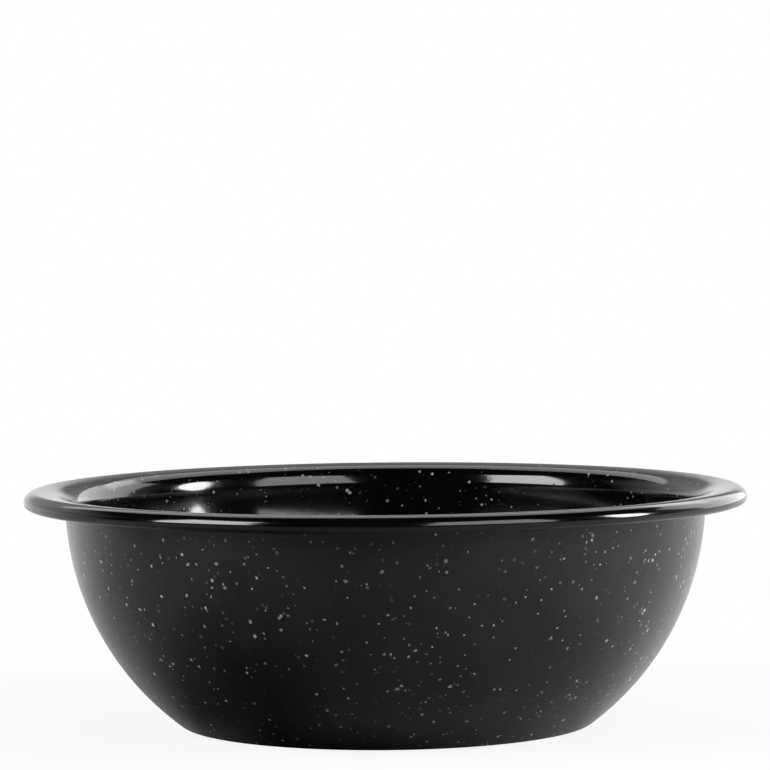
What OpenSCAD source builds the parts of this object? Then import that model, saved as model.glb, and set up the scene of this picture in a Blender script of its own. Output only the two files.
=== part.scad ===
// Enamelled steel bowl: one pressed sheet with a curled edge, under its coats of vitreous enamel.
// Millimetres, +Z up. The bowl stands on z = 0 and turns about the Z axis.
// The sheet's path is drawn once, along its outside face; every piece is a band of that path
// between two depths, counted from the outside face of the enamel towards the inside of the bowl.

/* [Bowl] */
// Width of the bowl over its curled edge
rim_d = 220; // [200:1:250]
// Height of the bowl from the table to the top of the rim
height = 72; // [60:0.5:85]
// Width of the flat ring the bowl stands on
base_d = 123; // [105:0.5:140]
// Inside radius of the bend from the base to the wall
heel_inside_r = 1.5; // [1:0.05:4]
// Radius of the wall's outward bulge, outside
wall_r = 85.5; // [78:0.5:110]

/* [Base] */
// Width of the flat standing ring, measured along the table
foot_w = 7; // [4:0.5:12]
// Height the middle of the base is raised above the table
panel_rise = 0.8; // [0.4:0.1:1.6]
// Radius of the two shallow bends that raise the middle of the base
panel_bend_r = 6; // [4:0.5:10]

/* [Rim] */
// Distance the rim stands out past the top of the wall
rim_w = 12.7; // [11:0.1:18]
// Radius of the bend from the wall to the flange, outside
flare_r = 5; // [3:0.25:7]
// Radius of the flange's gentle curve, underneath
flange_r = 60; // [45:1:85]
// Rise of the flange where it meets the rim's rounded crown, in degrees
flange_rise = 4; // [1:0.5:8]
// Radius of the rim's rounded crown, on top
crown_r = 4.2; // [3.2:0.1:5.4]
// Turn of the crown before the curl begins, in degrees
crown_turn = 61; // [45:1:75]
// Width of the hollow inside the curled edge
curl_bore_d = 2; // [1.6:0.1:3]
// Turn of the curled edge, in degrees
curl_turn = 223; // [190:1:240]

/* [Sheet and enamel] */
// Thickness of the steel sheet
steel_t = 0.6; // [0.4:0.05:0.8]
// Thickness of the ground coat on each side
ground_t = 0.15; // [0.1:0.05:0.25]
// Thickness of the cover coat on each side
cover_t = 0.25; // [0.2:0.05:0.35]

/* [Hidden] */
$fn = 240;

// Length by which neighbouring lengths of the path run into each other, so that they join
lap = 0.0003;
// Widest step of the wedge that cuts a bend out of its ring, and its reach past the ring
wedge_step = 45;
wedge_reach = 1.15;

// Depths of the faces between the coats, from the outside face of the bowl
outer_cover_depth = cover_t;
outer_ground_depth = outer_cover_depth + ground_t;
steel_depth = outer_ground_depth + steel_t;
inner_ground_depth = steel_depth + ground_t;
full_depth = inner_ground_depth + cover_t;

// Angles at which a face of the path looks straight up and straight down
facing_up = 90;
facing_down = -90;

// Base: a raised panel, a shallow step down, a flat standing ring
base_r = base_d / 2;
step_angle = acos(1 - panel_rise / (2 * panel_bend_r));
ring_inner_r = base_r - foot_w;
panel_r = ring_inner_r - 2 * panel_bend_r * sin(step_angle);
step_top_centre = [panel_r, panel_rise - panel_bend_r];
step_foot_centre = [ring_inner_r, panel_bend_r];

// Heel bend between the base and the wall
heel_r = heel_inside_r + full_depth;
heel_centre = [base_r, heel_r];

// Curled edge at the rim, under the rounded crown that runs smoothly into it
bead_r = curl_bore_d / 2 + full_depth - outer_ground_depth;
curl_r = bead_r - full_depth;
crown_start = facing_up + flange_rise;
curl_start = crown_start - crown_turn;
bead_centre = [
    rim_d / 2 - bead_r,
    height - crown_r + (crown_r - bead_r) * sin(curl_start)
];
crown_inside_r = crown_r - full_depth;
crown_centre = bead_centre - (crown_r - bead_r) * along(curl_start);

// Flange: a gentle curve that runs smoothly into the crown
flange_centre = crown_centre + (crown_inside_r - flange_r) * along(crown_start);

// Flare bend between the wall and the flange
flare_centre_r = rim_d / 2 - rim_w + flare_r;
flare_rise = asin((flange_centre[0] - flare_centre_r) / (flange_r - flare_r));
flange_start = facing_up + flare_rise;
flare_centre = flange_centre + (flange_r - flare_r) * along(flange_start);

// Wall: the arc that runs smoothly out of the heel and into the flare
span = flare_centre - heel_centre;
heel_reach = wall_r - heel_r;
flare_reach = wall_r + flare_r;
span_foot = (pow(heel_reach, 2) - pow(flare_reach, 2) + span * span) / (2 * norm(span));
span_side = sqrt(pow(heel_reach, 2) - pow(span_foot, 2));
span_dir = span / norm(span);
wall_centre = heel_centre + span_foot * span_dir + span_side * [-span_dir[1], span_dir[0]];
wall_start = direction(wall_centre, heel_centre);
wall_end = direction(wall_centre, flare_centre);

// Unit vector at an angle
function along(angle) = [cos(angle), sin(angle)];

// Angle of the line from one point to another
function direction(from, to) = atan2(to[1] - from[1], to[0] - from[0]);

// Point rounded to a hundredth of a millimetre
function rounded(point) = [round(100 * point[0]) / 100, round(100 * point[1]) / 100];

// Moves to a point in two steps, a round one and a small one, which keeps its last decimals
module place(point) {
    translate(rounded(point))
        translate(point - rounded(point))
            children();
}

// Level length of the path, at height z: a band between two depths
module level(r0, r1, z, d0, d1) {
    translate([r0, z + d0])
        square([r1 - r0, d1 - d0]);
}

// Bent length of the path, from angle a0 up to a1: a band between two radii about a centre
module bend(centre, r0, r1, a0, a1) {
    outer = max(r0, r1);
    inner = min(r0, r1);
    lap_angle = lap / outer * 180 / PI;
    from = a0 - lap_angle;
    turn = a1 - a0 + 2 * lap_angle;
    steps = ceil(turn / wedge_step);
    place(centre)
        intersection() {
            difference() {
                circle(r = outer);
                circle(r = inner);
            }
            polygon([
                [0, 0],
                for (i = [0 : steps]) wedge_reach * outer * along(from + turn * i / steps)
            ]);
        }
}

// Section of the bowl between two depths, from the middle of the base to the end of the flange
module bowl_section(d0, d1) {
    level(0, panel_r + lap, panel_rise, d0, d1);
    bend(step_top_centre, panel_bend_r + d0, panel_bend_r + d1, facing_up - step_angle, facing_up);
    bend(step_foot_centre, panel_bend_r - d0, panel_bend_r - d1,
        facing_down - step_angle, facing_down);
    level(ring_inner_r - lap, base_r + lap, 0, d0, d1);
    bend(heel_centre, heel_r - d0, heel_r - d1, facing_down, wall_start);
    bend(wall_centre, wall_r - d0, wall_r - d1, wall_start, wall_end);
    bend(flare_centre, flare_r + d0, flare_r + d1, flange_start, wall_end + 180);
    bend(flange_centre, flange_r + d0, flange_r + d1, crown_start, flange_start);
}

// Section of the rim between two depths: the crown and the curled edge
module rim_section(d0, d1) {
    bend(crown_centre, crown_inside_r + d0, crown_inside_r + d1, curl_start, crown_start);
    bend(bead_centre, curl_r + d0, curl_r + d1, curl_start - curl_turn, curl_start);
}

// Drawn sheet steel pressing: base, wall, flare, flange, crown and curled edge in one
module steel_bowl() {
    color([0.45, 0.46, 0.48])
        rotate_extrude() {
            bowl_section(outer_ground_depth, steel_depth);
            rim_section(outer_ground_depth, steel_depth);
        }
}

// Ground coat inside the bowl, over the flange and the crown and round the curled edge
module inner_ground_coat() {
    color([0.12, 0.13, 0.2])
        rotate_extrude() {
            bowl_section(steel_depth, inner_ground_depth);
            rim_section(steel_depth, inner_ground_depth);
        }
}

// Ground coat outside the bowl, over the base and under the flange
module outer_ground_coat() {
    color([0.12, 0.13, 0.2])
        rotate_extrude()
            bowl_section(outer_cover_depth, outer_ground_depth);
}

// Gloss black cover coat inside the bowl and over the flange
module inner_cover_coat() {
    color([0.02, 0.02, 0.022])
        rotate_extrude()
            bowl_section(inner_ground_depth, full_depth);
}

// Satin black cover coat outside the bowl, over the base and under the flange
module outer_cover_coat() {
    color([0.05, 0.05, 0.055])
        rotate_extrude()
            bowl_section(0, outer_cover_depth);
}

// Plain black coat over the rim's crown and round its curled edge
module rim_coat() {
    color([0.015, 0.015, 0.016])
        rotate_extrude()
            rim_section(inner_ground_depth, full_depth);
}

steel_bowl();
inner_ground_coat();
outer_ground_coat();
inner_cover_coat();
outer_cover_coat();
rim_coat();
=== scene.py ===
"""Enamel bowl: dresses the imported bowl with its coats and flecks, and lights it on a plain floor."""

import math

import bmesh
import bpy
from bpy.props import FloatProperty, FloatVectorProperty, IntProperty, PointerProperty
from mathutils import Matrix, Vector


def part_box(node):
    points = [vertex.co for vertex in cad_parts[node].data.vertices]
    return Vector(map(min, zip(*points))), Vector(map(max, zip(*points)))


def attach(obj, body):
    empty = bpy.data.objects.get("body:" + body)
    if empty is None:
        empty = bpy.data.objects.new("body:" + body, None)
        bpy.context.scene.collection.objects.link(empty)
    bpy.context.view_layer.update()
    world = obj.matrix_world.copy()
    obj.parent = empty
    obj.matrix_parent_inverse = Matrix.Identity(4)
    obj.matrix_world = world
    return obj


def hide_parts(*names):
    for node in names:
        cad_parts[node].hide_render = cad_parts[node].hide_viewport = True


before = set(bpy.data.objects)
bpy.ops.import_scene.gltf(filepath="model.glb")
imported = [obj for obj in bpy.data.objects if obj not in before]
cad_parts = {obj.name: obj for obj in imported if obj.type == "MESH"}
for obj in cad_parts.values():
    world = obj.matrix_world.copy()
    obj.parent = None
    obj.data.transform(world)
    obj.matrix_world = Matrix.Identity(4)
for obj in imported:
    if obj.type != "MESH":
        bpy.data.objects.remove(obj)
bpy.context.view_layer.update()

bl_info = {
    "name": "Enamel Bowl",
    "version": (1, 0, 0),
    "blender": (4, 5, 0),
    "location": "View3D > Sidebar > Bowl",
    "description": "Turns the coats of an enamel bowl, spatters its flecks and sets its studio",
    "category": "Object",
}

RIM_LOW, RIM_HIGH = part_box("rim_coat")
BASE_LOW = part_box("outer_cover_coat")[0]
MM = 0.001
ROOT = "root"


# Sizes and colours that a user would change


def length(name, description, default):
    return FloatProperty(
        name=name, description=description, default=default, subtype="DISTANCE", unit="LENGTH",
    )


def turn(name, description, degrees):
    return FloatProperty(
        name=name, description=description, default=math.radians(degrees),
        subtype="ANGLE", unit="ROTATION",
    )


def colour(name, description, default):
    return FloatVectorProperty(
        name=name, description=description, default=default, size=3, min=0, max=1, subtype="COLOR",
    )


def factor(name, description, default):
    return FloatProperty(
        name=name, description=description, default=default, min=0, max=1, subtype="FACTOR",
    )


def power(name, description, default):
    return FloatProperty(
        name=name, description=description, default=default, min=0, subtype="POWER", unit="POWER",
    )


def density(name, description, default):
    return FloatProperty(name=name, description=description, default=default, min=0)


class BowlSizes(bpy.types.PropertyGroup):
    """Sizes of the pressed sheet and its coats"""

    rim_d: length("Rim width", "Width over the curled edge", round(RIM_HIGH.x - RIM_LOW.x, 4))
    height: length("Height", "From the table to the top of the rim", round(RIM_HIGH.z - BASE_LOW.z, 4))
    base_d: length("Base width", "Width of the flat ring the bowl stands on", 123 * MM)
    heel_inside_r: length("Heel radius", "Inside radius of the bend from the base to the wall", 1.5 * MM)
    wall_r: length("Wall radius", "Radius of the wall's outward bulge", 85.5 * MM)
    foot_w: length("Standing ring", "Width of the flat standing ring", 7 * MM)
    panel_rise: length("Panel rise", "Height of the middle of the base above the table", 0.8 * MM)
    panel_bend_r: length("Panel bend", "Radius of the bends round the raised panel", 6 * MM)
    rim_w: length("Rim overhang", "How far the rim stands out past the wall", 12.7 * MM)
    flare_r: length("Flare radius", "Radius of the bend from the wall to the flange", 5 * MM)
    flange_r: length("Flange radius", "Radius of the flange's gentle curve", 60 * MM)
    flange_rise: turn("Flange rise", "Rise of the flange where it meets the rim's crown", 4)
    crown_r: length("Crown radius", "Radius of the rim's rounded crown", 4.2 * MM)
    crown_turn: turn("Crown turn", "Turn of the crown before the curl begins", 61)
    curl_bore_d: length("Curl bore", "Width of the hollow inside the curled edge", 2 * MM)
    curl_turn: turn("Curl turn", "Turn of the curled edge", 223)
    steel_t: length("Steel", "Thickness of the sheet", 0.6 * MM)
    ground_t: length("Ground coat", "Thickness of the ground coat on each side", 0.15 * MM)
    cover_t: length("Cover coat", "Thickness of the cover coat on each side", 0.25 * MM)
    segments: IntProperty(name="Segments", description="Steps round the bowl", default=288, min=64, max=384)
    waviness: length("Waviness", "Unevenness of the fired enamel", 0.05 * MM)
    wave_length: length("Wave length", "Width of the enamel's waves", 30 * MM)
    wave_height: length("Wave height", "Height over the table at which the waves are full", 20 * MM)


class EnamelLooks(bpy.types.PropertyGroup):
    """Colours and finishes of the enamel"""

    outside: colour("Outside", "Satin black of the outside coat", (0.0115, 0.0115, 0.0125))
    inside: colour("Inside", "Gloss black of the inside coat", (0.0007, 0.0007, 0.0008))
    rim: colour("Rim", "Gloss black of the rim", (0.0007, 0.0007, 0.0008))
    ground: colour("Ground", "Blue-black of the ground coat", (0.02, 0.022, 0.04))
    steel: colour("Steel", "Grey of the bare sheet", (0.42, 0.43, 0.45))
    speck: colour("Speck", "Grey of the fine specks in the black", (0.4, 0.4, 0.39))
    outside_fleck: colour("Outside fleck", "Off-white of the brightest flecks outside", (0.53, 0.52, 0.495))
    # Painted shade: the inside flecks are the outside's off-white, painted darker for the shade inside the
    # bowl
    inside_fleck: colour("Inside fleck", "Grey of the brightest flecks inside", (0.28, 0.28, 0.27))
    outside_roughness: factor("Outside roughness", "Roughness of the satin outside", 0.27)
    inside_roughness: factor("Inside roughness", "Roughness of the gloss inside", 0.1)
    rim_roughness: factor("Rim roughness", "Roughness of the gloss rim", 0.11)
    gloss_line: length("Gloss line", "Height at which the rim's gloss gives way to satin", 68.62 * MM)


class FleckSizes(bpy.types.PropertyGroup):
    """Number and size of the flecks"""

    outside_density: density("Outside flecks", "Flecks per square metre outside", 100000)
    inside_density: density("Inside flecks", "Flecks per square metre inside", 72000)
    smallest: length("Smallest fleck", "Width of the smallest flecks", 0.6 * MM)
    largest: length("Largest fleck", "Width of the largest flecks", 1.35 * MM)
    height: length("Fleck height", "How far a fleck stands out of the coat", 0.012 * MM)
    cluster_length: length("Cluster length", "Width of the patches with more and fewer flecks", 26 * MM)
    seed: IntProperty(name="Seed", description="Pattern of the flecks", default=7, min=0)


class StageSizes(bpy.types.PropertyGroup):
    """Floor, lamps and camera"""

    floor_r: length("Floor radius", "Radius of the floor", 4.0)
    lens: FloatProperty(
        name="Lens", description="Focal length of the camera in millimetres", default=178.13,
        min=20, unit="CAMERA",
    )
    left_lamp: power("Left lamp", "Power of the panel at the front left", 37.0)
    right_lamp: power("Right lamp", "Power of the panel at the front right", 20.0)
    side_lamp: power("Side lamp", "Power of the round lamp at the right", 19.0)
    back_lamp: power("Back lamp", "Power of the panel behind on the right", 12.0)
    top_lamp: power("Top lamp", "Power of the panel high up behind", 13.5)


# The sheet's path, as the solids have it

# Step along the path and widest turn of a bend, on a face that shows and on one that doesn't
FINE = (1.4 * MM, math.radians(7))
PLAIN = (4.0 * MM, math.radians(16))
# A level length takes steps this many times longer than a bend's, and either has at least two
LEVEL_STEP = 3
FEWEST_STEPS = 2


def along(angle):
    return Vector((math.cos(angle), math.sin(angle)))


def direction(start, end):
    return math.atan2(end.y - start.y, end.x - start.x)


class SheetPath:
    """The path of the sheet from the middle of the base to the end of the curl, along its outside face"""

    def __init__(self, s):
        up, down = math.pi / 2, -math.pi / 2
        # Depths of the faces between the coats, from the outside face
        self.surface = 0.0
        self.cover = s.cover_t
        self.ground = s.cover_t + s.ground_t
        self.steel = self.ground + s.steel_t
        self.inner_ground = self.steel + s.ground_t
        self.full = self.inner_ground + s.cover_t
        # Base and heel
        base_r = s.base_d / 2
        step = math.acos(1 - s.panel_rise / (2 * s.panel_bend_r))
        ring_r = base_r - s.foot_w
        panel_r = ring_r - 2 * s.panel_bend_r * math.sin(step)
        step_top = Vector((panel_r, s.panel_rise - s.panel_bend_r))
        step_foot = Vector((ring_r, s.panel_bend_r))
        heel_r = s.heel_inside_r + self.full
        heel = Vector((base_r, heel_r))
        # Curl, crown and flange
        bead_r = s.curl_bore_d / 2 + self.full - self.ground
        curl_r, crown_in = bead_r - self.full, s.crown_r - self.full
        crown_start = up + s.flange_rise
        curl_start = crown_start - s.crown_turn
        bead_z = s.height - s.crown_r + (s.crown_r - bead_r) * math.sin(curl_start)
        bead = Vector((s.rim_d / 2 - bead_r, bead_z))
        crown = bead - (s.crown_r - bead_r) * along(curl_start)
        flange = crown + (crown_in - s.flange_r) * along(crown_start)
        # Flare, and the wall between it and the heel
        flare_x = s.rim_d / 2 - s.rim_w + s.flare_r
        flange_start = up + math.asin((flange.x - flare_x) / (s.flange_r - s.flare_r))
        flare = flange + (s.flange_r - s.flare_r) * along(flange_start)
        span = flare - heel
        near, far = s.wall_r - heel_r, s.wall_r + s.flare_r
        foot = (near**2 - far**2 + span.length_squared) / (2 * span.length)
        side = math.sqrt(near**2 - foot**2)
        run = span.normalized()
        wall = heel + foot * run + side * Vector((-run.y, run.x))
        wall_start, wall_end = direction(wall, heel), direction(wall, flare)
        # A length is (start radius, end radius, height) or (centre, radius, growth with depth, from, to)
        self.bowl = [
            (0.0, panel_r, s.panel_rise),
            (step_top, s.panel_bend_r, 1, up, up - step),
            (step_foot, s.panel_bend_r, -1, down - step, down),
            (ring_r, base_r, 0.0),
            (heel, heel_r, -1, down, wall_start),
            (wall, s.wall_r, -1, wall_start, wall_end),
            (flare, s.flare_r, 1, wall_end + math.pi, flange_start),
            (flange, s.flange_r, 1, flange_start, crown_start),
        ]
        self.rim = [
            (crown, crown_in, 1, crown_start, curl_start),
            (bead, curl_r, 1, curl_start, curl_start - s.curl_turn),
        ]

    def face(self, lengths, depth, spacing, widest_turn):
        """Points of one face of the sheet, at a depth from its outside"""
        points = []
        for part in lengths:
            if len(part) == 3:
                r0, r1, z = part
                steps = max(FEWEST_STEPS, math.ceil((r1 - r0) / (LEVEL_STEP * spacing)))
                new = [Vector((r0 + (r1 - r0) * i / steps, z + depth)) for i in range(steps + 1)]
            else:
                centre, radius, growth, a0, a1 = part
                radius += growth * depth
                sweep = abs(a1 - a0)
                by_length, by_turn = sweep * radius / spacing, sweep / widest_turn
                steps = max(FEWEST_STEPS, math.ceil(by_length), math.ceil(by_turn))
                new = [centre + radius * along(a0 + (a1 - a0) * i / steps) for i in range(steps + 1)]
            points += new[1:] if points else new
        return points


# Nodes

RISING = (0.0, 1.0)
FALLING = (1.0, 0.0)
# Nearly all of a noise lies in this range, about this middle
NOISE_RANGE = (0.3, 0.7)
NOISE_MIDDLE = (0.5, 0.5, 0.5)


def add(tree, kind, inputs=None, **settings):
    """Adds a node, sets its options, and links or sets its inputs"""
    made = tree.nodes.new(kind)
    for name, value in settings.items():
        setattr(made, name, value)
    for key, value in (inputs or {}).items():
        if isinstance(value, bpy.types.NodeSocket):
            tree.links.new(value, made.inputs[key])
        else:
            made.inputs[key].default_value = value
    return made


def maths(tree, operation, a, b=0.0):
    return add(tree, "ShaderNodeMath", {0: a, 1: b}, operation=operation).outputs[0]


def plus(tree, a, b):
    return maths(tree, "ADD", a, b)


def minus(tree, a, b):
    return maths(tree, "SUBTRACT", a, b)


def times(tree, a, b):
    return maths(tree, "MULTIPLY", a, b)


def whole_maths(tree, operation, a, b):
    return add(tree, "FunctionNodeIntegerMath", {0: a, 1: b}, operation=operation).outputs[0]


def vector_maths(tree, operation, a, b):
    return add(tree, "ShaderNodeVectorMath", {0: a, 1: b}, operation=operation).outputs[0]


def scaled(tree, vector, by):
    return add(tree, "ShaderNodeVectorMath", {0: vector, "Scale": by}, operation="SCALE").outputs[0]


def parts(tree, vector):
    """The X, Y and Z of a vector, by name"""
    return add(tree, "ShaderNodeSeparateXYZ", {0: vector}).outputs


def joined(tree, x=0.0, y=0.0, z=0.0):
    return add(tree, "ShaderNodeCombineXYZ", {0: x, 1: y, 2: z}).outputs[0]


def spread(tree, value, span, onto=RISING):
    """Maps a range onto another, clamped"""
    inputs = {0: value, 1: span[0], 2: span[1], 3: onto[0], 4: onto[1]}
    return add(tree, "ShaderNodeMapRange", inputs).outputs[0]


def noise(tree, coords, scale, detail=2.0, roughness=0.5):
    inputs = {"Vector": coords, "Scale": scale, "Detail": detail, "Roughness": roughness}
    return add(tree, "ShaderNodeTexNoise", inputs).outputs[0]


def jitter(tree, place, scale, detail):
    """A random vector about zero that changes smoothly from place to place"""
    inputs = {"Vector": scaled(tree, place, scale), "Scale": 1.0, "Detail": detail}
    random = add(tree, "ShaderNodeTexNoise", inputs).outputs["Color"]
    return vector_maths(tree, "SUBTRACT", random, NOISE_MIDDLE)


def store(tree, geometry, name, value, kind="FLOAT"):
    """Keeps a value of every point under a name"""
    inputs = {"Geometry": geometry, "Name": name, "Value": value}
    kept = add(tree, "GeometryNodeStoreNamedAttribute", inputs, data_type=kind, domain="POINT")
    return kept.outputs[0]


def recall(tree, name, kind="FLOAT"):
    return add(tree, "GeometryNodeInputNamedAttribute", {"Name": name}, data_type=kind).outputs[0]


def new_tree(name, sockets):
    """A geometry tree with its named inputs; gives the tree, its inputs by name and its output node"""
    tree = bpy.data.node_groups.new(name, "GeometryNodeTree")
    tree.interface.new_socket(name="Geometry", in_out="INPUT", socket_type="NodeSocketGeometry")
    for label, kind in sockets:
        tree.interface.new_socket(name=label, in_out="INPUT", socket_type="NodeSocket" + kind)
    tree.interface.new_socket(name="Geometry", in_out="OUTPUT", socket_type="NodeSocketGeometry")
    entry = tree.nodes.new("NodeGroupInput")
    return tree, entry.outputs, tree.nodes.new("NodeGroupOutput")


def finish_tree(tree, geometry, material, exit_node):
    """Ends a tree: nothing is left an instance, and every face has its material"""
    real = add(tree, "GeometryNodeRealizeInstances", {0: geometry})
    done = add(tree, "GeometryNodeSetMaterial", {"Geometry": real.outputs[0], "Material": material})
    tree.links.new(done.outputs[0], exit_node.inputs[0])
    return tree


# The waves grow over this share of the wave height; the noise goes half as far as they do, so it is doubled
WAVE_GROWTH = (0.1, 1.0)
WAVE_SWING = (0.0, 2.0)
WAVE_DETAIL = 1.0
# Points closer than this, in metres, are one: the seam, and the middle of the base
SEAM_GAP = 1e-6


def turned_coat_tree():
    """Turns a profile, drawn as a line of points in the XZ plane, about the Z axis"""
    tree, given, leave = new_tree("Turned coat", [
        ("Segments", "Int"), ("Waviness", "Float"), ("Wave Length", "Float"),
        ("Wave Height", "Float"), ("Material", "Material"),
    ])
    rows = add(tree, "GeometryNodeAttributeDomainSize", {0: given["Geometry"]}).outputs["Point Count"]
    columns = whole_maths(tree, "ADD", given["Segments"], 1)
    grid = add(tree, "GeometryNodeMeshGrid", {"Vertices X": columns, "Vertices Y": rows}).outputs["Mesh"]
    index = add(tree, "GeometryNodeInputIndex").outputs[0]
    column = whole_maths(tree, "DIVIDE_FLOOR", index, rows)
    row = whole_maths(tree, "MODULO", index, rows)
    angle = times(tree, maths(tree, "DIVIDE", column, given["Segments"]), 2 * math.pi)
    profile = add(tree, "GeometryNodeSampleIndex", {
        "Geometry": given["Geometry"],
        "Value": add(tree, "GeometryNodeInputPosition").outputs[0],
        "Index": row,
    }, data_type="FLOAT_VECTOR", domain="POINT").outputs[0]
    drawn = parts(tree, profile)
    x = times(tree, drawn["X"], maths(tree, "COSINE", angle))
    y = times(tree, drawn["X"], maths(tree, "SINE", angle))
    place = joined(tree, x, y, drawn["Z"])
    waves = jitter(tree, place, maths(tree, "DIVIDE", 1.0, given["Wave Length"]), WAVE_DETAIL)
    height_share = maths(tree, "DIVIDE", drawn["Z"], given["Wave Height"])
    swing = times(tree, given["Waviness"], spread(tree, height_share, WAVE_GROWTH, WAVE_SWING))
    moved = vector_maths(tree, "ADD", place, scaled(tree, waves, swing))
    turned = add(tree, "GeometryNodeSetPosition", {"Geometry": grid, "Position": moved}).outputs[0]
    closed = add(tree, "GeometryNodeMergeByDistance", {"Geometry": turned, "Distance": SEAM_GAP}).outputs[0]
    return finish_tree(tree, closed, given["Material"], leave)


# Random draws for each fleck, counted on from the seed
WIDTH_DRAW, TONE_DRAW, LONG_DRAW, SPIN_DRAW = 1, 2, 3, 4
# Most flecks are near the smallest width, and most are faint
WIDTH_SKEW = 1.9
TONE_SKEW = 3.8
# Share of the density between the patches and within them
CLUSTER_SWING = (0.35, 1.65)
# Nearly half of the flecks are longer than they are wide, by up to this much
LONG_SHARE = (0.55, 1.0)
LONG_STRETCH = (1.0, 1.45)
# A fleck is a flat cone with a cut top, before its edge is made ragged; radii in half widths
FLECK_SIDES = 8
FLECK_TOP_R = 0.6
FLECK_FOOT_R = 1.4
RAGGED_LENGTH = 0.55 * MM
RAGGED_REACH = 1.4
RAGGED_DETAIL = 2.0


def fleck_tree():
    """Spatters flat irregular flecks over a surface and lays them on it"""
    tree, given, leave = new_tree("Flecks", [
        ("Density", "Float"), ("Smallest", "Float"), ("Largest", "Float"), ("Height", "Float"),
        ("Cluster Length", "Float"), ("Seed", "Int"), ("Material", "Material"),
    ])

    def chance(draw, span=RISING):
        seed = whole_maths(tree, "ADD", given["Seed"], draw)
        inputs = {2: span[0], 3: span[1], "Seed": seed}
        return add(tree, "FunctionNodeRandomValue", inputs, data_type="FLOAT").outputs[1]

    # Points, each with its width, its tone and the way that the coat faces
    place = add(tree, "GeometryNodeInputPosition").outputs[0]
    patches = noise(tree, scaled(tree, place, maths(tree, "DIVIDE", 1.0, given["Cluster Length"])), 1.0)
    crowding = times(tree, given["Density"], spread(tree, patches, NOISE_RANGE, CLUSTER_SWING))
    points = add(tree, "GeometryNodeDistributePointsOnFaces", {
        "Mesh": given["Geometry"], "Density": crowding, "Seed": given["Seed"],
    }, distribute_method="RANDOM").outputs
    skew = maths(tree, "POWER", chance(WIDTH_DRAW), WIDTH_SKEW)
    extra = times(tree, skew, minus(tree, given["Largest"], given["Smallest"]))
    half = times(tree, plus(tree, given["Smallest"], extra), 0.5)
    tone = maths(tree, "POWER", chance(TONE_DRAW), TONE_SKEW)
    sized = store(tree, points["Points"], "fleck_half", half)
    faced = store(tree, sized, "fleck_normal", points["Normal"], "FLOAT_VECTOR")
    toned = store(tree, faced, "fleck_tone", tone)

    # A flat cone on each point, half sunk in the coat
    cone = add(tree, "GeometryNodeMeshCone", {
        "Vertices": FLECK_SIDES, "Side Segments": 1,
        "Radius Top": FLECK_TOP_R, "Radius Bottom": FLECK_FOOT_R, "Depth": 1.0,
    }, fill_type="TRIANGLE_FAN").outputs["Mesh"]
    blob = store(tree, cone, "fleck_rise", parts(tree, place)["Z"])
    longer = times(tree, half, spread(tree, chance(LONG_DRAW), LONG_SHARE, LONG_STRETCH))
    placed = add(tree, "GeometryNodeInstanceOnPoints", {
        "Points": toned, "Instance": blob, "Rotation": points["Rotation"],
        "Scale": joined(tree, longer, half, times(tree, given["Height"], 2.0)),
    }).outputs[0]
    spin = joined(tree, z=chance(SPIN_DRAW, (0.0, 2 * math.pi)))
    spun = add(tree, "GeometryNodeRotateInstances", {"Instances": placed, "Rotation": spin}).outputs[0]
    drop = joined(tree, z=times(tree, given["Height"], -1.0))
    sunk = add(tree, "GeometryNodeTranslateInstances", {"Instances": spun, "Translation": drop}).outputs[0]
    real = add(tree, "GeometryNodeRealizeInstances", {0: sunk}).outputs[0]

    # Made ragged within the face, then laid on the curve of the coat
    normal = recall(tree, "fleck_normal", "FLOAT_VECTOR")
    push = jitter(tree, place, 1 / RAGGED_LENGTH, RAGGED_DETAIL)
    lift = add(tree, "ShaderNodeVectorMath", {0: push, 1: normal}, operation="DOT_PRODUCT").outputs["Value"]
    in_face = vector_maths(tree, "SUBTRACT", push, scaled(tree, normal, lift))
    offset = scaled(tree, in_face, times(tree, recall(tree, "fleck_half"), RAGGED_REACH))
    ragged = add(tree, "GeometryNodeSetPosition", {"Geometry": real, "Offset": offset}).outputs[0]
    nearest = add(tree, "GeometryNodeProximity", {0: given["Geometry"]}, target_element="FACES")
    rise = times(tree, given["Height"], spread(tree, recall(tree, "fleck_rise"), RISING, (-1.0, 1.0)))
    on_coat = vector_maths(tree, "ADD", nearest.outputs["Position"], scaled(tree, normal, rise))
    laid = add(tree, "GeometryNodeSetPosition", {"Geometry": ragged, "Position": on_coat}).outputs[0]
    smooth = add(tree, "GeometryNodeSetShadeSmooth", {0: laid}).outputs[0]
    return finish_tree(tree, smooth, given["Material"], leave)


def new_piece(name, points):
    """An object whose mesh is a line of points in the XZ plane"""
    mesh = bpy.data.meshes.new(name)
    corners = [(p.x, 0.0, p.y) for p in points]
    mesh.from_pydata(corners, [(i, i + 1) for i in range(len(points) - 1)], [])
    piece = bpy.data.objects.new(name, mesh)
    bpy.context.scene.collection.objects.link(piece)
    return piece


def run_tree(piece, tree, values):
    """Adds a tree to a piece and sets its inputs by their identifiers"""
    modifier = piece.modifiers.new(tree.name, "NODES")
    modifier.node_group = tree
    for item in tree.interface.items_tree:
        if item.in_out == "INPUT" and item.name in values:
            modifier[item.identifier] = values[item.name]


def settle(piece, sharp_angle=None):
    """Turns the result of a piece's trees into a plain mesh; with a sharp angle, also faces it outwards"""
    graph = bpy.context.evaluated_depsgraph_get()
    made = piece.evaluated_get(graph)
    mesh = bpy.data.meshes.new_from_object(made, preserve_all_data_layers=True, depsgraph=graph)
    piece.modifiers.clear()
    old, piece.data = piece.data, mesh
    bpy.data.meshes.remove(old)
    mesh.name = piece.name
    if not mesh.polygons:
        raise RuntimeError(piece.name + " came out empty")
    if sharp_angle is not None:
        work = bmesh.new()
        work.from_mesh(mesh)
        bmesh.ops.recalc_face_normals(work, faces=work.faces)
        work.to_mesh(mesh)
        work.free()
        mesh.shade_smooth()
        mesh.set_sharp_from_angle(angle=sharp_angle)


# Materials; the scales of their patterns are per metre

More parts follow.
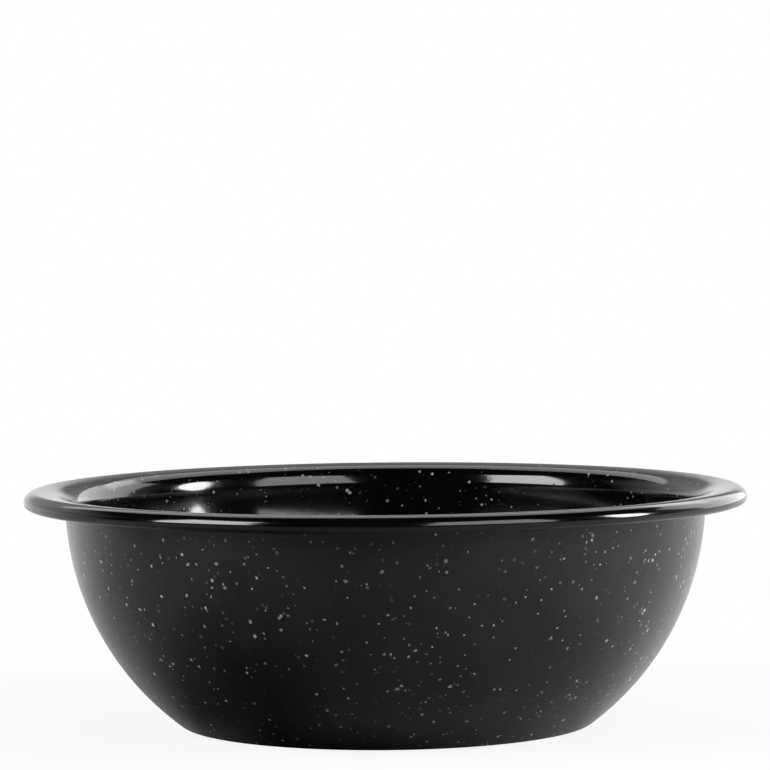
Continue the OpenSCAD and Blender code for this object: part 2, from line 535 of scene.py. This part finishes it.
ENAMEL_IOR = 1.6
# Clouds in the black, and its drifts between duller and glossier
CLOUD_SCALE, CLOUD_DETAIL, CLOUD_RANGE = 55, 4.0, (0.3, 0.75)
CLOUD_DARK, CLOUD_LIGHT = 0.75, 1.5
GLOSS_SCALE, GLOSS_DETAIL = 28, 3.0
# Half the height over which the rim's gloss gives way to satin
GLOSS_EDGE = 0.15 * MM
# Fine specks: how far each reaches in its cell, and which cells have one
SPECK_SCALE, SPECK_REACH, SPECK_PICK = 1100.0, (0.1, 0.2), (0.86, 1.0)
# Orange peel: fine ripples, and others that are this much broader and higher
PEEL_DEPTH = 0.2 * MM
PEEL_DETAIL = 2.0
BROAD_PEEL, BROAD_PEEL_HEIGHT, BROAD_PEEL_DETAIL = 7, 1.5, 1.0
# Flecks: the black that runs over them, the slope on which they come in, and the range of their tones
VEIL_SCALE, VEIL_RANGE, VEIL_COVER = 1500, (0.3, 0.6), (0.7, 1.0)
FLECK_SLOPE = (0.45, 1.0)
FLECK_TONES = (0.0, 0.85)
# Ground coat: clouds, and bubbles that change its roughness
GROUND_SCALE, GROUND_DETAIL, GROUND_DARK = 180, 4.0, 0.6
BUBBLE_SCALE, BUBBLE_RANGE, BUBBLE_ROUGHNESS = 900.0, (0.0, 0.6), (0.55, 0.35)
BUBBLE_STRENGTH, BUBBLE_DEPTH = 0.2, 0.1 * MM
# Sheet steel: drawing marks
MARK_SCALE, MARK_DETAIL, MARK_GRAIN, MARK_DARK = 420, 5.0, 0.7, 0.7
MARK_ROUGHNESS = (0.3, 0.5)
MARK_STRENGTH, MARK_DEPTH = 0.15, 0.1 * MM


def empty_material(name):
    """A material without nodes; gives it and its tree"""
    material = bpy.data.materials.new(name)
    material.use_nodes = True
    material.node_tree.nodes.clear()
    return material, material.node_tree


def new_material(name):
    """A material with a surface shader; gives it, its tree, the shader and its object coordinates"""
    material, tree = empty_material(name)
    shader = tree.nodes.new("ShaderNodeBsdfPrincipled")
    leave = tree.nodes.new("ShaderNodeOutputMaterial")
    tree.links.new(shader.outputs[0], leave.inputs["Surface"])
    coords = tree.nodes.new("ShaderNodeTexCoord").outputs["Object"]
    return material, tree, shader, coords


def shaded(base, by):
    return [channel * by for channel in base]


def two_tone(tree, value, span, dark, light):
    """A ramp between two colours over part of a value's range"""
    ramp = add(tree, "ShaderNodeValToRGB", {0: value})
    stops = ramp.color_ramp.elements
    stops[0].position, stops[1].position = span
    stops[0].color, stops[1].color = (*dark, 1), (*light, 1)
    return ramp.outputs[0]


def blend(tree, share, first, second):
    """Mixes two colours; the node keeps its colour inputs at 6 and 7 and its colour output at 2"""
    return add(tree, "ShaderNodeMix", {0: share, 6: first, 7: second}, data_type="RGBA").outputs[2]


def raise_surface(tree, shader, height, strength, depth):
    """Gives a shader a bumpy surface"""
    bump = add(tree, "ShaderNodeBump", {"Strength": strength, "Distance": depth, "Height": height})
    tree.links.new(bump.outputs[0], shader.inputs["Normal"])


def enamel(name, base, roughness, speck, drift, peel, peel_scale, speck_share, below=None):
    """Fired black enamel: clouded, uneven in gloss, peeled and specked; it may have a duller foot"""
    material, tree, shader, coords = new_material(name)
    cloud = noise(tree, coords, CLOUD_SCALE, CLOUD_DETAIL)
    body = two_tone(tree, cloud, CLOUD_RANGE, shaded(base, CLOUD_DARK), shaded(base, CLOUD_LIGHT))
    drifting = noise(tree, coords, GLOSS_SCALE, GLOSS_DETAIL)
    gloss = spread(tree, drifting, NOISE_RANGE, (roughness - drift, roughness + drift))
    if below:
        line, dull_colour, dull = below
        height = parts(tree, coords)["Z"]
        under = spread(tree, height, (line - GLOSS_EDGE, line + GLOSS_EDGE), FALLING)
        body = blend(tree, under, body, (*dull_colour, 1))
        gloss = plus(tree, gloss, times(tree, under, dull - roughness))
    cells = add(tree, "ShaderNodeTexVoronoi", {"Vector": coords, "Scale": SPECK_SCALE}).outputs
    dot = spread(tree, cells["Distance"], SPECK_REACH, FALLING)
    cell_chance = add(tree, "ShaderNodeSeparateColor", {0: cells["Color"]}).outputs[0]
    picked = times(tree, dot, spread(tree, cell_chance, SPECK_PICK))
    specked = blend(tree, times(tree, picked, speck_share), body, (*speck, 1))
    tree.links.new(specked, shader.inputs["Base Color"])
    tree.links.new(gloss, shader.inputs["Roughness"])
    fine = noise(tree, coords, peel_scale, PEEL_DETAIL)
    broad = noise(tree, coords, peel_scale / BROAD_PEEL, BROAD_PEEL_DETAIL)
    skin = plus(tree, fine, times(tree, broad, BROAD_PEEL_HEIGHT))
    raise_surface(tree, shader, skin, peel, PEEL_DEPTH)
    shader.inputs["IOR"].default_value = ENAMEL_IOR
    return material


def fleck_enamel(name, coat, bright, roughness):
    """Off-white flecks, each of its own tone, dulled at their edges and where the black runs over them"""
    material, tree, shader, coords = new_material(name)
    tone = add(tree, "ShaderNodeAttribute", attribute_name="fleck_tone").outputs["Fac"]
    rise = add(tree, "ShaderNodeAttribute", attribute_name="fleck_rise").outputs["Fac"]
    flush = add(tree, "ShaderNodeAttribute", attribute_name="fleck_normal").outputs["Vector"]
    veil = spread(tree, noise(tree, coords, VEIL_SCALE), VEIL_RANGE, VEIL_COVER)
    cover = times(tree, veil, spread(tree, rise, FLECK_SLOPE))
    light = two_tone(tree, times(tree, tone, cover), FLECK_TONES, coat, bright)
    tree.links.new(light, shader.inputs["Base Color"])
    tree.links.new(flush, shader.inputs["Normal"])
    shader.inputs["Roughness"].default_value = roughness
    shader.inputs["IOR"].default_value = ENAMEL_IOR
    return material


def ground_enamel(name, base):
    """Blue-black ground coat with the fine bubbles of its first fire"""
    material, tree, shader, coords = new_material(name)
    cloud = noise(tree, coords, GROUND_SCALE, GROUND_DETAIL)
    body = two_tone(tree, cloud, NOISE_RANGE, shaded(base, GROUND_DARK), base)
    cells = add(tree, "ShaderNodeTexVoronoi", {"Vector": coords, "Scale": BUBBLE_SCALE}).outputs
    bubbles = cells["Distance"]
    tree.links.new(body, shader.inputs["Base Color"])
    tree.links.new(spread(tree, bubbles, BUBBLE_RANGE, BUBBLE_ROUGHNESS), shader.inputs["Roughness"])
    raise_surface(tree, shader, bubbles, BUBBLE_STRENGTH, BUBBLE_DEPTH)
    return material


def sheet_steel(name, base):
    """Bare pressed sheet with its drawing marks"""
    material, tree, shader, coords = new_material(name)
    marks = noise(tree, coords, MARK_SCALE, MARK_DETAIL, MARK_GRAIN)
    body = two_tone(tree, marks, NOISE_RANGE, shaded(base, MARK_DARK), base)
    tree.links.new(body, shader.inputs["Base Color"])
    tree.links.new(spread(tree, marks, NOISE_RANGE, MARK_ROUGHNESS), shader.inputs["Roughness"])
    raise_surface(tree, shader, marks, MARK_STRENGTH, MARK_DEPTH)
    shader.inputs["Metallic"].default_value = 1.0
    return material


def dress_node(name, material):
    """Gives a CAD node that stays its material"""
    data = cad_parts[name].data
    data.materials.clear()
    data.materials.append(material)


# Operators

# Bends sharper than this stay edges on a coat
SHARP_EDGE = math.radians(35)
# The inside flecks have another pattern than the outside ones
INSIDE_SEED_STEP = 50


def coat_inputs(sizes, material):
    return {
        "Segments": sizes.segments, "Waviness": sizes.waviness, "Wave Length": sizes.wave_length,
        "Wave Height": sizes.wave_height, "Material": material,
    }


def turn_coat(context, name, material, lengths, depths, steps, closed, node):
    """Turns one coat as a shell between two depths of the path, each face with its own steps"""
    sizes = context.scene.bowl_sizes
    path = SheetPath(sizes)
    run = getattr(path, lengths)
    outer, inner = (path.face(run, getattr(path, d), *step) for d, step in zip(depths, steps))
    loop = outer + inner[::-1] + (outer[:1] if closed else [])
    piece = new_piece(name, loop)
    run_tree(piece, turned_coat_tree(), coat_inputs(sizes, material))
    settle(piece, SHARP_EDGE)
    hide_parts(node)
    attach(piece, ROOT)


def spatter_flecks(context, name, material, face, crowding, seed):
    """Spatters flecks over one face of the bowl"""
    sizes, flecks = context.scene.bowl_sizes, context.scene.bowl_flecks
    piece = new_piece(name, face)
    run_tree(piece, turned_coat_tree(), coat_inputs(sizes, material))
    run_tree(piece, fleck_tree(), {
        "Density": crowding, "Smallest": flecks.smallest, "Largest": flecks.largest,
        "Height": flecks.height, "Cluster Length": flecks.cluster_length, "Seed": seed,
        "Material": material,
    })
    settle(piece)
    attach(piece, ROOT)


class BOWL_OT_outside_coat(bpy.types.Operator):
    """Turn the satin black coat outside the bowl"""

    bl_idname = "bowl.outside_coat"
    bl_label = "Outside Coat"

    def execute(self, context):
        looks = context.scene.bowl_looks
        satin = enamel(
            "Outside_Satin", looks.outside, looks.outside_roughness, looks.speck,
            drift=0.05, peel=0.10, peel_scale=1400, speck_share=0.3,
        )
        turn_coat(
            context, "outside_coat", satin, lengths="bowl", depths=("surface", "cover"),
            steps=(FINE, PLAIN), closed=False, node="outer_cover_coat",
        )
        return {"FINISHED"}


class BOWL_OT_inside_coat(bpy.types.Operator):
    """Turn the gloss black coat inside the bowl and over the flange"""

    bl_idname = "bowl.inside_coat"
    bl_label = "Inside Coat"

    def execute(self, context):
        looks = context.scene.bowl_looks
        gloss = enamel(
            "Inside_Gloss", looks.inside, looks.inside_roughness, looks.speck,
            drift=0.02, peel=0.03, peel_scale=500, speck_share=0.3,
        )
        turn_coat(
            context, "inside_coat", gloss, lengths="bowl", depths=("inner_ground", "full"),
            steps=(PLAIN, FINE), closed=False, node="inner_cover_coat",
        )
        return {"FINISHED"}


class BOWL_OT_rim_coat(bpy.types.Operator):
    """Turn the plain coat over the rim's crown and round its curled edge"""

    bl_idname = "bowl.rim_coat"
    bl_label = "Rim Coat"

    def execute(self, context):
        looks = context.scene.bowl_looks
        gloss = enamel(
            "Rim_Gloss", looks.rim, looks.rim_roughness, looks.speck,
            drift=0.02, peel=0.03, peel_scale=500, speck_share=0.0,
            below=(looks.gloss_line, looks.outside, looks.outside_roughness),
        )
        turn_coat(
            context, "rim_edge", gloss, lengths="rim", depths=("inner_ground", "full"),
            steps=(PLAIN, FINE), closed=True, node="rim_coat",
        )
        return {"FINISHED"}


class BOWL_OT_flecks(bpy.types.Operator):
    """Spatter the off-white flecks over both faces of the bowl"""

    bl_idname = "bowl.flecks"
    bl_label = "Flecks"

    def execute(self, context):
        scene = context.scene
        looks, flecks = scene.bowl_looks, scene.bowl_flecks
        path = SheetPath(scene.bowl_sizes)
        outside, inside = (path.face(path.bowl, depth, *FINE) for depth in (path.surface, path.full))
        off_white = fleck_enamel(
            "Outside_Flecks", looks.outside, looks.outside_fleck, looks.outside_roughness,
        )
        spatter_flecks(
            context, "outside_flecks", off_white, outside,
            crowding=flecks.outside_density, seed=flecks.seed,
        )
        # Painted shade: a darker copy of the off-white fleck enamel, for the shade inside the bowl
        grey = fleck_enamel(
            "Inside_Flecks", looks.inside, looks.inside_fleck, looks.inside_roughness,
        )
        spatter_flecks(
            context, "inside_flecks", grey, inside[::-1],
            crowding=flecks.inside_density, seed=flecks.seed + INSIDE_SEED_STEP,
        )
        return {"FINISHED"}


class BOWL_OT_hidden_layers(bpy.types.Operator):
    """Finish the sheet and the ground coats that the cover coats hide"""

    bl_idname = "bowl.hidden_layers"
    bl_label = "Hidden Layers"

    def execute(self, context):
        looks = context.scene.bowl_looks
        dress_node("steel_bowl", sheet_steel("Sheet_Steel", looks.steel))
        ground = ground_enamel("Ground_Enamel", looks.ground)
        dress_node("inner_ground_coat", ground)
        dress_node("outer_ground_coat", ground)
        return {"FINISHED"}


# Stage

WHITE = (1, 1, 1, 1)
# Height on the bowl from which the rises of the lamps are counted
LAMP_SIGHT = 60 * MM
# The floor lies a little under the bowl
FLOOR_DROP = 0.1 * MM
FLOOR_SIDES = 96
# Painted light and shade of the floor, which glows for every ray but the camera's in place of lamplight on
# it, so that the bowl mirrors it and is lit by it: a painted shadow level under the base, and in three
# rings from its edge outwards a level every 30 degrees, from the camera's side round by the right
FLOOR_PAINTED_SHADOW = 0.05
FLOOR_TOUCH = (0.0, 0.1, 0.3, 0.8, 0.95, 1.0, 1.0, 0.9, 0.6, 0.45, 0.12, 0.0)
FLOOR_NEAR = (0.14, 0.22, 0.38, 0.78, 0.95, 1.1, 1.1, 0.9, 0.58, 0.4, 0.05, 0.02)
FLOOR_FAR = (0.16, 0.36, 0.52, 0.72, 1.0, 1.15, 1.25, 1.15, 0.78, 0.3, 0.36, 0.2)
# Widths over which the first ring comes in up to the base's edge and the second beyond it, and the
# radii over which the third does
TOUCH_W = 2.5 * MM
NEAR_W = 11.5 * MM
FAR_RADII = (100 * MM, 300 * MM)
# The levels go through a colour ramp at half their size
LEVEL_SCALE = 2.0
FLOOR_TINT = (1, 0.98, 0.985, 1)
FLOOR_MATT = (0.8, 0.8, 0.8, 1)
# Radii over which the shadow goes, and the share of plain white at each
SHADOW_RADII = (200 * MM, 600 * MM)
SHADOW_WHITE = (0.88, 1.0)
# The room that the bowl mirrors, by the direction it lies in: +Y behind the bowl, +Z up
ROOM_LEVEL = 0.012
ROOM_TINT = (1, 0.985, 0.985, 1)
BACKDROP_SIDE = (0.1, 0.6)
BACKDROP_TOP = (0.45, 0.62)
BACKDROP_FOOT = (0.11, 0.2)
WING_SPAN = (0.1, 0.45)
WING_LEVEL = (0.3, 0.65)
# The camera stands where a fit to the bowl's outline in the photograph puts it
CAMERA_PLACE = (0, -1.15933, 0.15979)
CAMERA_PITCH = math.radians(2.8063)
CAMERA_ROLL = math.radians(-0.5256)
CAMERA_YAW = 0.0002
SENSOR_WIDTH = 36.0


def stand_lamp(name, watts, bearing, rises, reach, width, lean=0, tint=(1, 1, 1), shape="RECTANGLE"):
    """Stands a lamp between two rises seen from the bowl, at a bearing from the camera's side"""
    bottom, top = (LAMP_SIGHT + reach * math.tan(math.radians(rise)) for rise in rises)
    data = bpy.data.lights.new(name, "AREA")
    data.shape, data.size, data.size_y = shape, width, top - bottom
    data.energy, data.color = watts, tint
    angle = math.radians(bearing)
    out = Vector((math.sin(angle), -math.cos(angle), 0))
    lamp = bpy.data.objects.new(name, data)
    upright = (-out).to_track_quat("-Z", "Y").to_matrix().to_4x4()
    place = Matrix.Translation(reach * out + Vector((0, 0, (bottom + top) / 2)))
    lamp.matrix_world = place @ upright @ Matrix.Rotation(math.radians(lean), 4, "Z")
    lamp.visible_camera = False
    bpy.context.scene.collection.objects.link(lamp)


def floor_dial(tree, round_share, levels):
    """A painted floor brightness that changes round the bowl, from a list of levels"""
    ramp = add(tree, "ShaderNodeValToRGB", {0: round_share})
    stops = ramp.color_ramp.elements
    for i, level in enumerate((*levels, levels[0])):
        stop = stops[i] if i < 2 else stops.new(1.0)
        grey = level / LEVEL_SCALE
        stop.position = i / len(levels)
        stop.color = (grey, grey, grey, 1)
    return times(tree, ramp.outputs[0], LEVEL_SCALE)


def floor_material(base_r):
    """White to the camera with a faint shadow; to other rays a glowing floor of painted light and shade,
    darker in front and in a painted shadow round the base; clear from below
    """
    material, tree = empty_material("Floor_White")
    here = add(tree, "ShaderNodeTexCoord").outputs["Object"]
    away = add(tree, "ShaderNodeVectorMath", {0: here}, operation="LENGTH").outputs["Value"]
    flat = parts(tree, here)
    back_turn = maths(tree, "ARCTAN2", times(tree, flat["X"], -1.0), flat["Y"])
    round_share = spread(tree, back_turn, (-math.pi, math.pi))
    level = FLOOR_PAINTED_SHADOW
    for radii, levels in (
        ((base_r - TOUCH_W, base_r), FLOOR_TOUCH),
        ((base_r, base_r + NEAR_W), FLOOR_NEAR),
        (FAR_RADII, FLOOR_FAR),
    ):
        further = minus(tree, floor_dial(tree, round_share, levels), level)
        level = plus(tree, level, times(tree, spread(tree, away, radii), further))
    # Painted light and shade: the floor's glow, with its painted shadow under and round the base, is what
    # every ray but the camera's sees
    painted_floor_glow = add(tree, "ShaderNodeEmission", {"Color": FLOOR_TINT, "Strength": level}).outputs[0]
    matt = add(tree, "ShaderNodeBsdfDiffuse", {"Color": FLOOR_MATT}).outputs[0]
    glow = add(tree, "ShaderNodeEmission", {"Color": WHITE, "Strength": 1.0}).outputs[0]
    seen = add(tree, "ShaderNodeLightPath").outputs["Is Camera Ray"]
    white_share = spread(tree, away, SHADOW_RADII, SHADOW_WHITE)
    lit = add(tree, "ShaderNodeMixShader", {0: white_share, 1: matt, 2: glow}).outputs[0]
    top = add(tree, "ShaderNodeMixShader", {0: seen, 1: painted_floor_glow, 2: lit}).outputs[0]
    below = add(tree, "ShaderNodeNewGeometry").outputs["Backfacing"]
    clear = add(tree, "ShaderNodeBsdfTransparent").outputs[0]
    whole = add(tree, "ShaderNodeMixShader", {0: below, 1: top, 2: clear}).outputs[0]
    add(tree, "ShaderNodeOutputMaterial", {"Surface": whole})
    return material


def studio_world():
    """White to the camera; else a dark room with a backdrop, white at its foot and dimmest in the middle"""
    world = bpy.data.worlds.new("Studio")
    world.use_nodes = True
    tree = world.node_tree
    tree.nodes.clear()
    way = parts(tree, add(tree, "ShaderNodeTexCoord").outputs["Generated"])
    behind = spread(tree, way["Y"], BACKDROP_SIDE)
    low = spread(tree, way["Z"], BACKDROP_TOP, FALLING)
    wings = spread(tree, maths(tree, "ABSOLUTE", way["X"]), WING_SPAN, WING_LEVEL)
    foot = spread(tree, way["Z"], BACKDROP_FOOT, FALLING)
    sweep = plus(tree, wings, times(tree, foot, minus(tree, 1.0, wings)))
    room = plus(tree, ROOM_LEVEL, times(tree, times(tree, behind, low), sweep))
    dim = add(tree, "ShaderNodeBackground", {"Color": ROOM_TINT, "Strength": room}).outputs[0]
    white = add(tree, "ShaderNodeBackground", {"Color": WHITE, "Strength": 1.0}).outputs[0]
    seen = add(tree, "ShaderNodeLightPath").outputs["Is Camera Ray"]
    mixed = add(tree, "ShaderNodeMixShader", {0: seen, 1: dim, 2: white}).outputs[0]
    add(tree, "ShaderNodeOutputWorld", {"Surface": mixed})
    return world


def photo_camera(lens):
    """A camera at the photograph's place and viewing angle"""
    data = bpy.data.cameras.new("camera")
    data.lens, data.sensor_width = lens, SENSOR_WIDTH
    camera = bpy.data.objects.new("camera", data)
    ahead = Vector((math.sin(CAMERA_YAW), math.cos(CAMERA_PITCH), -math.sin(CAMERA_PITCH))).normalized()
    level = ahead.cross(Vector((0, 0, 1))).normalized()
    upright = level.cross(ahead)
    right = math.cos(CAMERA_ROLL) * level + math.sin(CAMERA_ROLL) * upright
    up = math.cos(CAMERA_ROLL) * upright - math.sin(CAMERA_ROLL) * level
    turned = Matrix((right, up, -ahead)).transposed().to_4x4()
    camera.matrix_world = Matrix.Translation(CAMERA_PLACE) @ turned
    bpy.context.scene.collection.objects.link(camera)
    return camera


class BOWL_OT_stage(bpy.types.Operator):
    """Lay the floor, stand the lamps and set the camera"""

    bl_idname = "bowl.stage"
    bl_label = "Stage"

    def execute(self, context):
        scene = context.scene
        stage = scene.bowl_stage
        mesh = bpy.data.meshes.new("floor")
        work = bmesh.new()
        bmesh.ops.create_circle(work, cap_ends=True, segments=FLOOR_SIDES, radius=stage.floor_r)
        work.to_mesh(mesh)
        work.free()
        mesh.materials.append(floor_material(scene.bowl_sizes.base_d / 2))
        floor = bpy.data.objects.new("floor", mesh)
        floor.location.z = -FLOOR_DROP
        scene.collection.objects.link(floor)
        stand_lamp(
            "left_lamp", stage.left_lamp, bearing=-64, rises=(12, 55), reach=1.4, width=0.84,
            lean=12, tint=(0.98, 1.0, 1.0),
        )
        stand_lamp(
            "right_lamp", stage.right_lamp, bearing=37, rises=(12, 58), reach=1.4, width=1.05, lean=-9,
        )
        stand_lamp(
            "side_lamp", stage.side_lamp, bearing=84, rises=(4, 42), reach=1.4, width=0.4,
            lean=-14, tint=(0.98, 0.99, 1.0), shape="ELLIPSE",
        )
        stand_lamp(
            "back_lamp", stage.back_lamp, bearing=138, rises=(1, 40), reach=1.7, width=1.4,
            tint=(0.95, 0.97, 1.0),
        )
        stand_lamp(
            "top_lamp", stage.top_lamp, bearing=178, rises=(32, 68), reach=1.0, width=1.68,
        )
        scene.world = studio_world()
        scene.view_settings.view_transform = "Standard"
        scene.camera = photo_camera(stage.lens)
        return {"FINISHED"}


class BOWL_PT_panel(bpy.types.Panel):
    """Sizes, looks and steps of the enamel bowl"""

    bl_idname = "BOWL_PT_panel"
    bl_label = "Enamel Bowl"
    bl_space_type = "VIEW_3D"
    bl_region_type = "UI"
    bl_category = "Bowl"

    def draw(self, context):
        for group in GROUPS:
            box = self.layout.box()
            for name in GROUPS[group].__annotations__:
                box.prop(getattr(context.scene, group), name)
        for step in STEPS:
            self.layout.operator(step.bl_idname)


GROUPS = {
    "bowl_sizes": BowlSizes,
    "bowl_looks": EnamelLooks,
    "bowl_flecks": FleckSizes,
    "bowl_stage": StageSizes,
}
STEPS = (
    BOWL_OT_outside_coat,
    BOWL_OT_inside_coat,
    BOWL_OT_rim_coat,
    BOWL_OT_flecks,
    BOWL_OT_hidden_layers,
    BOWL_OT_stage,
)


def register():
    for cls in (*GROUPS.values(), *STEPS, BOWL_PT_panel):
        bpy.utils.register_class(cls)
    for name, cls in GROUPS.items():
        setattr(bpy.types.Scene, name, PointerProperty(type=cls))


def unregister():
    for name in GROUPS:
        delattr(bpy.types.Scene, name)
    for cls in reversed((*GROUPS.values(), *STEPS, BOWL_PT_panel)):
        bpy.utils.unregister_class(cls)


def main():
    register()
    bpy.ops.bowl.outside_coat()
    bpy.ops.bowl.inside_coat()
    bpy.ops.bowl.rim_coat()
    bpy.ops.bowl.flecks()
    bpy.ops.bowl.hidden_layers()
    bpy.ops.bowl.stage()
    bpy.context.view_layer.update()


if __name__ == "__main__":
    main()
